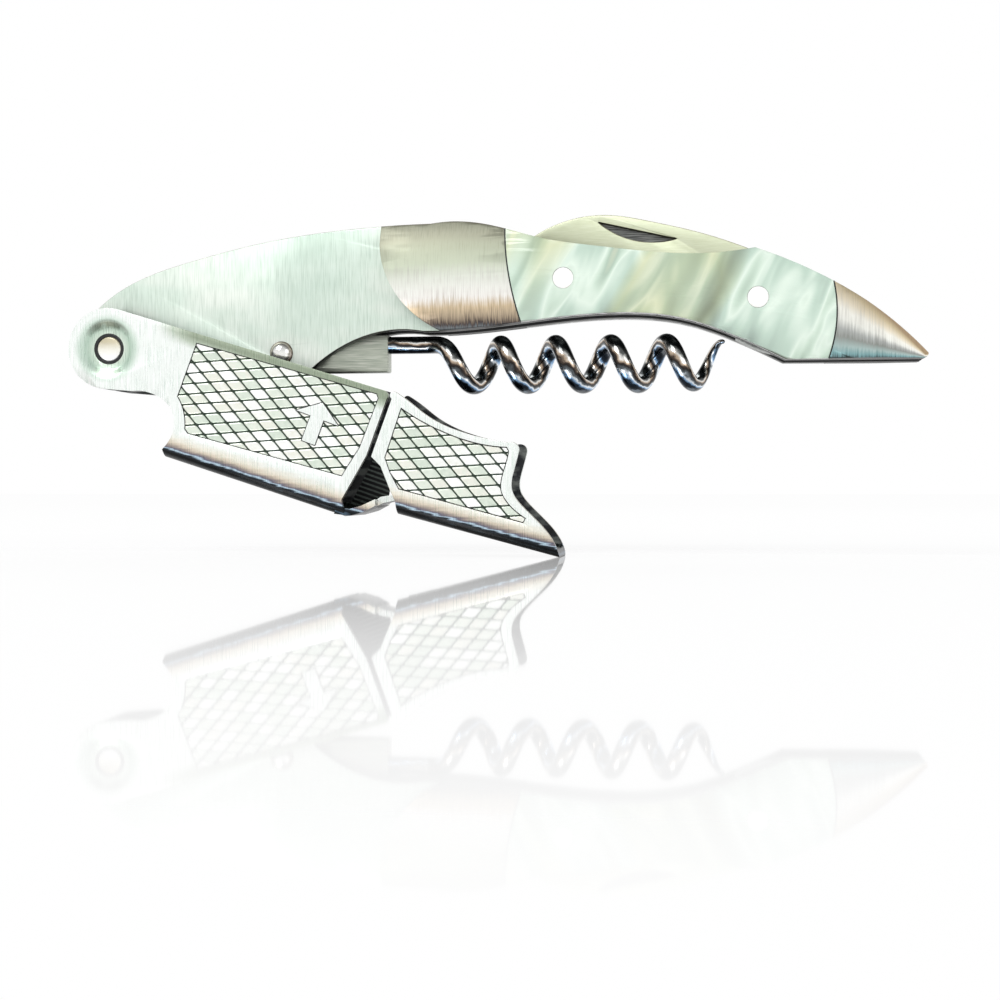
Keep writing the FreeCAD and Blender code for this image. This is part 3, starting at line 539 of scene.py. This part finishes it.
def softened(node, edge):
    """A copy of a CAD node's mesh with every sharp edge rounded to that width."""
    rough = bmesh.new()
    rough.from_mesh(frame["nodes"][node].data)
    bmesh.ops.remove_doubles(rough, verts=rough.verts, dist=WELD)
    bmesh.ops.dissolve_limit(rough, angle_limit=FLAT, verts=rough.verts, edges=rough.edges)
    mesh = bpy.data.meshes.new(node + "_rounded")
    rough.to_mesh(mesh)
    rough.free()
    for face in mesh.polygons:
        face.use_smooth = True
    carrier = bpy.data.objects.new(node + "_carrier", mesh)
    bpy.context.scene.collection.objects.link(carrier)
    bevel = carrier.modifiers.new("edges", "BEVEL")
    bevel.width = edge
    bevel.segments = 2
    bevel.limit_method = "ANGLE"
    bevel.angle_limit = SHARP
    bevel.miter_outer = "MITER_ARC"
    bevel.harden_normals = True
    ready = carrier.evaluated_get(bpy.context.evaluated_depsgraph_get())
    result = bpy.data.meshes.new_from_object(ready)
    bpy.data.objects.remove(carrier)
    return result


# node, look, slot, rounding in millimetres
FINISH = [
    ("first_lever", "first_lever", "lever_steel", 0.1),
    ("second_lever", "second_lever", "lever_steel", 0.1),
    ("foil_blade", "blade_steel", "blade_steel", 0.12),
    ("worm_spring", "spring_steel", "spring_steel", 0.1),
    ("blade_spring", "spring_steel", "spring_steel", 0.1),
    ("hub_spacer", "spring_steel", "spring_steel", 0.1),
    ("lever_pivot_pin", "hub_pin", "pin_steel", 0.2),
    ("scale_pin", "pin_steel", "pin_steel", 0.1),
    ("blade_pivot_pin", "pin_steel", "pin_steel", 0.1),
    ("lever_hinge_pin", "pin_steel", "pin_steel", 0.08),
    ("worm_pivot_pin", "ball_head", "pin_steel", 0.08),
]
for side in ("front", "back"):
    FINISH += [
        ("liner_" + side, "liner_steel", "liner_steel", 0.15),
        ("head_bolster_" + side, "bolster_steel", "bolster_steel", 0.18),
        ("tail_bolster_" + side, "tail_steel", "bolster_steel", 0.15),
        ("pearl_scale_" + side, "pearl", "pearl", 0.15),
        ("lever_bush_" + side, "black_bush", "black_bush", 0.1),
    ]
for node, look, slot, edge in FINISH:
    piece(node + "_finished", softened(node, edge * MM), look, slot, body_of(node), node)
frame["nodes"]["bolster_pins"].data.materials.clear()
frame["nodes"]["bolster_pins"].data.materials.append(LOOKS["pin_steel"])


# ---------------------------------------------------------------- worm
WIRE_R, COIL_R, PITCH, AXIS_Z = 1.3 * MM, 3.1 * MM, 8.2 * MM, 28.6 * MM
EYE_X, EYE_Z, EYE_R, EYE_BORE = -31.1 * MM, 30.4 * MM, 2.8 * MM, 1.35 * MM
TANG_END, TANG_HALF = -15.25 * MM, 1.45 * MM
LEAD_START, LEAD_LENGTH = -9.6 * MM, 6.0 * MM
TIP_X, TAPER_LENGTH, TIP_RADIUS = 34.6 * MM, 7.0 * MM, 0.3 * MM


def coil_angle(x):
    """Turn about the helix axis at x: none on the shank, then growing to one turn a pitch."""
    rate = 2 * math.pi / PITCH
    run = x - LEAD_START
    if run <= 0:
        return 0.0
    if run <= LEAD_LENGTH:
        return rate * run * run / (2 * LEAD_LENGTH)
    return rate * (run - LEAD_LENGTH / 2)


def coil_point(x):
    turn = coil_angle(x)
    return Vector((x, -COIL_R * math.sin(turn), AXIS_Z + COIL_R * math.cos(turn)))


def wire_mesh(sides=28, step=0.14 * MM):
    """The wire as a smooth tube from inside the tang to its blunt point."""
    start = TANG_END - 1.0 * MM
    stations = round((TIP_X - start) / step)
    points, faces = [], []
    for n in range(stations + 1):
        x = start + (TIP_X - start) * n / stations
        left = max(0.0, min(1.0, (TIP_X - x) / TAPER_LENGTH))
        radius = TIP_RADIUS + (WIRE_R - TIP_RADIUS) * math.sin(left * math.pi / 2)
        forward = (coil_point(x + TINY) - coil_point(x - TINY)).normalized()
        turn = coil_angle(x)
        outward = Vector((0, -math.sin(turn), math.cos(turn)))
        aside = forward.cross(outward)
        for k in range(sides):
            a = 2 * math.pi * k / sides
            points.append(coil_point(x) + (outward * math.cos(a) + aside * math.sin(a)) * radius)
    for n in range(stations):
        for k in range(sides):
            a, b = n * sides + k, n * sides + (k + 1) % sides
            faces.append((a, b, b + sides, a + sides))
    faces.append(tuple(reversed(range(sides))))
    faces.append(tuple(stations * sides + k for k in range(sides)))
    return mesh_from("worm_wire", points, faces)


def tang_mesh(steps=28, edge=0.22 * MM):
    """The flat tang with its round eye, bored for the pin."""
    work = bmesh.new()
    outer = [Vector((TANG_END, 0, EYE_Z - EYE_R)), Vector((TANG_END, 0, EYE_Z + EYE_R))]
    for k in range(steps + 1):
        a = math.pi / 2 + math.pi * k / steps
        outer.append(Vector((EYE_X + EYE_R * math.cos(a), 0, EYE_Z + EYE_R * math.sin(a))))
    bore = []
    for k in range(2 * steps):
        a = math.pi * k / steps
        bore.append(Vector((EYE_X + EYE_BORE * math.cos(a), 0, EYE_Z + EYE_BORE * math.sin(a))))
    edges = []
    for loop in (outer, bore):
        corners = [work.verts.new(p - Vector((0, TANG_HALF, 0))) for p in loop]
        edges += [work.edges.new((a, b)) for a, b in zip(corners, corners[1:] + corners[:1])]
    bmesh.ops.triangle_fill(work, edges=edges, use_beauty=True)
    drawn = bmesh.ops.extrude_face_region(work, geom=work.faces[:])
    raised = [v for v in drawn["geom"] if isinstance(v, bmesh.types.BMVert)]
    bmesh.ops.translate(work, verts=raised, vec=(0, 2 * TANG_HALF, 0))
    bmesh.ops.recalc_face_normals(work, faces=work.faces[:])
    bmesh.ops.dissolve_limit(work, angle_limit=FLAT, verts=work.verts, edges=work.edges)
    sharp = [e for e in work.edges if len(e.link_faces) == 2 and e.calc_face_angle() > SHARP]
    bmesh.ops.bevel(work, geom=sharp, offset=edge, segments=2, affect="EDGES", profile=0.5)
    mesh = bpy.data.meshes.new("worm_tang")
    work.to_mesh(mesh)
    work.free()
    for face in mesh.polygons:
        face.use_smooth = True
    mesh.set_sharp_from_angle(angle=SHARP)
    return mesh


piece("worm_wire_smooth", wire_mesh(), "worm_steel", "worm_steel", "worm_arm", "worm")
piece("worm_tang_smooth", tang_mesh(), "tang_steel", "worm_steel", "worm_arm")


# ---------------------------------------------------------------- engraved panels
LEVEL_ANGLE = math.radians(3.5)  # the nearly level lines rise to the right
SLANT_ANGLE = math.radians(-50.0)  # the others fall to the right
CELL_LONG, CELL_HIGH = 2.34 * MM, 1.55 * MM
GROOVE_HALF, CELL_CORNER, CELL_RISE, SHOULDER = 0.05 * MM, 0.28 * MM, 0.15 * MM, 0.16 * MM
GROOVE_LIFT = 0.02 * MM  # the groove's floor over the pocket's floor
PANEL_DEPTH, ON_FLOOR = 0.25 * MM, 0.01 * MM
LEVEL = 0.99  # a face whose normal is nearer the Y axis than this is flat
OVERLAP = 0.3 * MM  # how far the cells run into the wall round the pocket
NEARBY = 2.2 * CELL_LONG  # cells further than this from the pocket are skipped at once
RIM_WIDTH, RIM_LIFT = 0.13 * MM, 0.17 * MM
ALONG = Vector((math.cos(LEVEL_ANGLE), 0, math.sin(LEVEL_ANGLE))) * CELL_LONG
LINE_GAP = abs(math.sin(LEVEL_ANGLE - SLANT_ANGLE))
DOWN = Vector((math.cos(SLANT_ANGLE), 0, math.sin(SLANT_ANGLE))) * CELL_HIGH / LINE_GAP
HALF_CELL = (CELL_LONG * LINE_GAP / 2, CELL_HIGH / 2)
# Places of the mesh lines across half a cell: dense beside the groove.
CUTS = [0.0, 0.045, 0.09, 0.14, 0.2, 0.28, 0.38, 0.5]
CUTS += [1 - c for c in reversed(CUTS[1:-1])]


def recess_floor(node, side):
    """The pocket's floor on one side of a lever: its points, its faces, its rim edges, and its y."""
    low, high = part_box(node)
    wall = low.y if side == FRONT else high.y
    bottom = wall - side * PANEL_DEPTH
    mesh = frame["nodes"][node].data
    sunk = {v.index for v in mesh.vertices if abs(v.co.y - bottom) < ON_FLOOR}
    flat = [p for p in mesh.polygons if sunk.issuperset(p.vertices) and abs(p.normal.y) > LEVEL]
    spots, faces, uses = {}, [], {}
    for face in flat:
        corners = []
        for v in face.vertices:
            co = mesh.vertices[v].co
            key = (round(co.x, 7), round(co.z, 7))
            corners.append(spots.setdefault(key, len(spots)))
        faces.append(corners)
        for a, b in zip(corners, corners[1:] + corners[:1]):
            edge = (min(a, b), max(a, b))
            uses[edge] = uses.get(edge, 0) + 1
    points = [Vector((x, bottom, z)) for x, z in spots]
    rim = [edge for edge, count in uses.items() if count == 1]
    return points, faces, rim, bottom


def cell_depth(across, upward):
    """0 on top of a cell, 1 in the groove, for a place given in shares of a cell."""
    u = abs(across - 0.5) * 2 * HALF_CELL[0]
    v = abs(upward - 0.5) * 2 * HALF_CELL[1]
    q = Vector((u - HALF_CELL[0] + GROOVE_HALF + CELL_CORNER, v - HALF_CELL[1] + GROOVE_HALF + CELL_CORNER))
    outside = Vector((max(q.x, 0), max(q.y, 0))).length
    inside = min(max(q.x, q.y), 0)
    edge = outside + inside - CELL_CORNER
    share = max(0.0, min(1.0, (edge + SHOULDER) / SHOULDER))
    return share * share * (3 - 2 * share)


def panel_mesh(node, side, seed):
    """Cells and engraved lines over the pocket, running a little into the wall round it."""
    points, faces, _, bottom = recess_floor(node, side)
    tree = BVHTree.FromPolygons([tuple(p) for p in points], faces)
    low_x, high_x = min(p.x for p in points), max(p.x for p in points)
    low_z, high_z = min(p.z for p in points), max(p.z for p in points)
    corner = Vector((low_x, bottom, high_z))
    dice = random.Random(seed)
    rows = int((high_z - low_z) / CELL_HIGH) + 4
    columns = int((high_x - low_x) / CELL_LONG) + rows + 4
    made, quads, sunk, cells, known = [], [], [], [], {}

    def vertex(i, j, a, b, tint):
        key = (round(i + a, 4), round(j + b, 4), tint)
        if key not in known:
            spot = corner + ALONG * (i + a) + DOWN * (j + b)
            depth = cell_depth(a, b)
            rise = GROOVE_LIFT + CELL_RISE * (1 - depth)
            known[key] = len(made)
            made.append(Vector((spot.x, bottom + side * rise, spot.z)))
            sunk.append(depth)
            cells.append(tint)
        return known[key]

    for j in range(-2, rows):
        for i in range(-rows - 2, columns):
            middle = corner + ALONG * (i + 0.5) + DOWN * (j + 0.5)
            if tree.find_nearest(middle, NEARBY)[0] is None:
                continue
            tint = dice.random()
            for a0, a1 in zip(CUTS, CUTS[1:] + [1.0]):
                for b0, b1 in zip(CUTS, CUTS[1:] + [1.0]):
                    spot = corner + ALONG * (i + (a0 + a1) / 2) + DOWN * (j + (b0 + b1) / 2)
                    if tree.find_nearest(spot, OVERLAP)[0] is None:
                        continue
                    ring = [(a0, b0), (a1, b0), (a1, b1), (a0, b1)]
                    quads.append(tuple(vertex(i, j, a, b, tint) for a, b in ring))
    mesh = mesh_from(node + "_cells", made, quads)
    for name, values in (("sunk", sunk), ("cell", cells)):
        mesh.attributes.new(name, "FLOAT", "POINT").data.foreach_set("value", values)
    return mesh


def rim_mesh(node, side):
    """A thin dark line along the pocket's rim and round the raised arrow."""
    points, _, rim, _ = recess_floor(node, side)
    low, high = Vector((0, side * GROOVE_LIFT, 0)), Vector((0, side * RIM_LIFT, 0))
    made, quads = [], []
    for a, b in rim:
        run = points[b] - points[a]
        if run.length < TINY:
            continue
        reach = run.normalized() * RIM_WIDTH * 0.5
        aside = run.normalized().cross(Vector((0, 1, 0))) * RIM_WIDTH
        start, end = points[a] - reach, points[b] + reach
        base = len(made)
        made += [start - aside + low, end - aside + low, end + aside + low, start + aside + low]
        made += [start - aside + high, end - aside + high, end + aside + high, start + aside + high]
        box = [(0, 1, 2, 3), (4, 7, 6, 5), (0, 4, 5, 1), (1, 5, 6, 2), (2, 6, 7, 3), (3, 7, 4, 0)]
        quads += [tuple(base + k for k in face) for face in box]
    return mesh_from(node + "_rim", made, quads, smooth=False)


for node, seed in (("first_lever", 11), ("second_lever", 23)):
    for side, word in ((FRONT, "front"), (BACK, "back")):
        body = body_of(node)
        piece(f"{node}_cells_{word}", panel_mesh(node, side, seed), "panel_cells", "lever_steel", body)
        piece(f"{node}_rim_{word}", rim_mesh(node, side), "engraved_dark", "lever_steel", body)


# ---------------------------------------------------------------- painted shade on the far inner face between the levers
RIDGE_NEAR, RIDGE_FAR = HALF_WIDTH - 1.4 * MM, HALF_WIDTH - 1.06 * MM
# Corners in millimetres (x, z): along the tongue, then up clear of the folding second lever.
RIDGE_OUTLINE = (
    (-22.6, 7.2), (-20.3, 6.8), (-18.5, 7.3), (-16.5, 8.3), (-15.95, 11.0), (-16.1, 14.6), (-18.6, 14.9),
)


def ridge_mesh():
    """A thin plate on the inside of the first lever's far wall, reaching into the gap before the hinge,
    painted as shade with ridges.
    """
    count = len(RIDGE_OUTLINE)
    points = [Vector((x * MM, y, z * MM)) for y in (RIDGE_NEAR, RIDGE_FAR) for x, z in RIDGE_OUTLINE]
    faces = [tuple(range(count)), tuple(reversed(range(count, 2 * count)))]
    faces += [(k, k + count, (k + 1) % count + count, (k + 1) % count) for k in range(count)]
    return mesh_from("gap_shade_ridges", points, faces, smooth=False)


piece("gap_shade_ridges", ridge_mesh(), "ridged_shade", "lever_steel", "lever_first")


# ---------------------------------------------------------------- joint lines of the grips
def circle_through(a, b, c):
    """Centre and radius of the circle through three points (x, z)."""
    d = 2 * (a[0] * (b[1] - c[1]) + b[0] * (c[1] - a[1]) + c[0] * (a[1] - b[1]))
    sa, sb, sc = (p[0] ** 2 + p[1] ** 2 for p in (a, b, c))
    x = (sa * (b[1] - c[1]) + sb * (c[1] - a[1]) + sc * (a[1] - b[1])) / d
    z = (sa * (c[0] - b[0]) + sb * (a[0] - c[0]) + sc * (b[0] - a[0])) / d
    return x, z, math.hypot(a[0] - x, a[1] - z)


# Three points in millimetres (x, z) on each end of the scales.
JOINTS = {
    "head_joint": ((3.0, 55.0), (3.6, 41.0), (6.2, 31.5)),
    "tail_joint": ((47.9, 46.0), (50.6, 35.5), (47.9, 25.0)),
}
SHIM_HALF, SHIM_PROUD, ON_ARC = 0.1 * MM, 0.02 * MM, 0.01 * MM


def shim_mesh(node, side, arc):
    """The end face of a scale, thickened: it shows as a thin dark line between two grip pieces."""
    x, z, radius = circle_through(*[(px * MM, pz * MM) for px, pz in arc])
    source = frame["nodes"][node].data
    lift = Vector((0, side * SHIM_PROUD, 0))
    points, faces = [], []
    for face in source.polygons:
        corners = [source.vertices[v].co for v in face.vertices]
        if any(abs(math.hypot(c.x - x, c.z - z) - radius) > ON_ARC for c in corners):
            continue
        base, count = len(points), len(corners)
        for reach in (-SHIM_HALF, SHIM_HALF):
            for c in corners:
                out = Vector((c.x - x, 0, c.z - z)).normalized()
                points.append(c + out * reach + lift)
        faces.append(tuple(base + k for k in reversed(range(count))))
        faces.append(tuple(base + count + k for k in range(count)))
        for k in range(count):
            n = (k + 1) % count
            faces.append((base + k, base + n, base + count + n, base + count + k))
    return mesh_from(node + "_shim", points, faces, smooth=False)


for side, word in ((FRONT, "front"), (BACK, "back")):
    for name, arc in JOINTS.items():
        mesh = shim_mesh("pearl_scale_" + word, side, arc)
        piece(f"{name}_{word}", mesh, "engraved_dark", "pearl", "handle")


# ---------------------------------------------------------------- stage
low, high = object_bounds()
AIM = (Vector(low) + Vector(high)) / 2
FLOOR_REACH, FLOOR_DROP = 3.0, 0.02 * MM
GLOW = (0.03, 0.16, 0.78, 0.97)  # between two distances from the middle, from one share to another
HAZE = 0.07  # light added to the mirror
# Share of the mirror: it grows towards the object in two steps and ends behind it and beside it.
MIRROR_FAR, MIRROR_NEAR = (-0.205, -0.1, 0, 0.5), (-0.1, -0.01, 0, 0.22)
MIRROR_BEHIND, MIRROR_BESIDE = (0.01, 0.04, 1, 0), (0.07, 0.14, 1.0, 0.0)
CAMERA_PLACE, CAMERA_AIM = Vector((0.03227, -0.23811, 0.01003)), Vector((0.0023, -0.006, 0.00842))
SENSOR_WIDTH, FOCAL_LENGTH, CLIP_START = 36.0, 57.7, 0.005
# name, place, size and power in watts
LAMPS = (
    ("key", (-0.25, -0.35, 0.45), (0.3, 0.3), 1.7),
    ("fill", (0.4, -0.3, 0.2), (0.3, 0.3), 0.35),
    ("rim", (0.1, 0.4, 0.4), (0.4, 0.2), 0.8),
)
# Height of the direction and colour of the light from there.
SKY = ((0.2, (0.92, 0.92, 0.92, 1)), (0.9, (0.36, 0.37, 0.38, 1)))


def floor():
    """A pale gloss floor: it mirrors faintly near the object and less further off."""
    look = Look("floor")
    tree = look.tree
    white = look.node("BsdfDiffuse", {}, {"Color": (0.9, 0.9, 0.9, 1)})
    lit = look.node("Emission", {}, {"Color": (1, 1, 1, 1), "Strength": 1.0})
    glow = look.spread(look.length(look.x, look.y), *GLOW)
    pale = look.node("MixShader", {}, {0: glow, 1: white.outputs[0], 2: lit.outputs[0]})
    mirror = look.node("BsdfGlossy", {}, {"Color": (1, 1, 1, 1), "Roughness": 0.03})
    haze = look.node("Emission", {}, {"Color": (1, 1, 1, 1), "Strength": HAZE})
    gloss = look.node("AddShader", {}, {0: mirror.outputs[0], 1: haze.outputs[0]})
    near = look.math("ADD", look.spread(look.y, *MIRROR_FAR), look.spread(look.y, *MIRROR_NEAR))
    in_front = look.math("MULTIPLY", near, look.spread(look.y, *MIRROR_BEHIND))
    share = look.math("MULTIPLY", in_front, look.spread(look.math("ABSOLUTE", look.x), *MIRROR_BESIDE))
    both = look.node("MixShader", {}, {0: share, 1: pale.outputs[0], 2: gloss.outputs[0]})
    tree.links.new(both.outputs[0], tree.nodes["Material Output"].inputs["Surface"])
    corners = [(x * FLOOR_REACH, y * FLOOR_REACH, 0) for x, y in ((-1, -1), (1, -1), (1, 1), (-1, 1))]
    mesh = mesh_from("floor", corners, [(0, 1, 2, 3)], smooth=False)
    mesh.materials.append(look.material)
    plane = bpy.data.objects.new("floor", mesh)
    bpy.context.scene.collection.objects.link(plane)
    plane.location.z = -FLOOR_DROP


def area_light(name, place, size, power):
    data = bpy.data.lights.new(name, "AREA")
    data.shape = "RECTANGLE"
    data.size, data.size_y = size
    data.energy = power
    lamp = bpy.data.objects.new(name, data)
    lamp.location = place
    lamp.rotation_euler = (AIM - Vector(place)).to_track_quat("-Z", "Y").to_euler()
    bpy.context.scene.collection.objects.link(lamp)


def camera():
    data = bpy.data.cameras.new("camera")
    data.sensor_width, data.lens, data.clip_start = SENSOR_WIDTH, FOCAL_LENGTH, CLIP_START
    shot = bpy.data.objects.new("camera", data)
    shot.location = CAMERA_PLACE
    shot.rotation_euler = (CAMERA_AIM - CAMERA_PLACE).to_track_quat("-Z", "Y").to_euler()
    bpy.context.scene.collection.objects.link(shot)
    bpy.context.scene.camera = shot


def world():
    """White round about, greyer overhead. The camera sees plain white."""
    sky = bpy.data.worlds.new("studio")
    sky.use_nodes = True
    tree = sky.node_tree
    shade = tree.nodes["Background"]
    plain = tree.nodes.new("ShaderNodeBackground")
    plain.inputs["Color"].default_value = (1, 1, 1, 1)
    aim = tree.nodes.new("ShaderNodeTexCoord")
    split = tree.nodes.new("ShaderNodeSeparateXYZ")
    band = tree.nodes.new("ShaderNodeValToRGB")
    for element, (height, colour) in zip(band.color_ramp.elements, SKY):
        element.position, element.color = height, colour
    seen = tree.nodes.new("ShaderNodeLightPath")
    choice = tree.nodes.new("ShaderNodeMixShader")
    link = tree.links.new
    link(aim.outputs["Generated"], split.inputs[0])
    link(split.outputs["Z"], band.inputs[0])
    link(band.outputs[0], shade.inputs["Color"])
    link(seen.outputs["Is Camera Ray"], choice.inputs[0])
    link(shade.outputs[0], choice.inputs[1])
    link(plain.outputs[0], choice.inputs[2])
    link(choice.outputs[0], tree.nodes["World Output"].inputs["Surface"])
    bpy.context.scene.world = sky
    bpy.context.scene.view_settings.view_transform = "Standard"


floor()
world()
camera()
for lamp in LAMPS:
    area_light(*lamp)
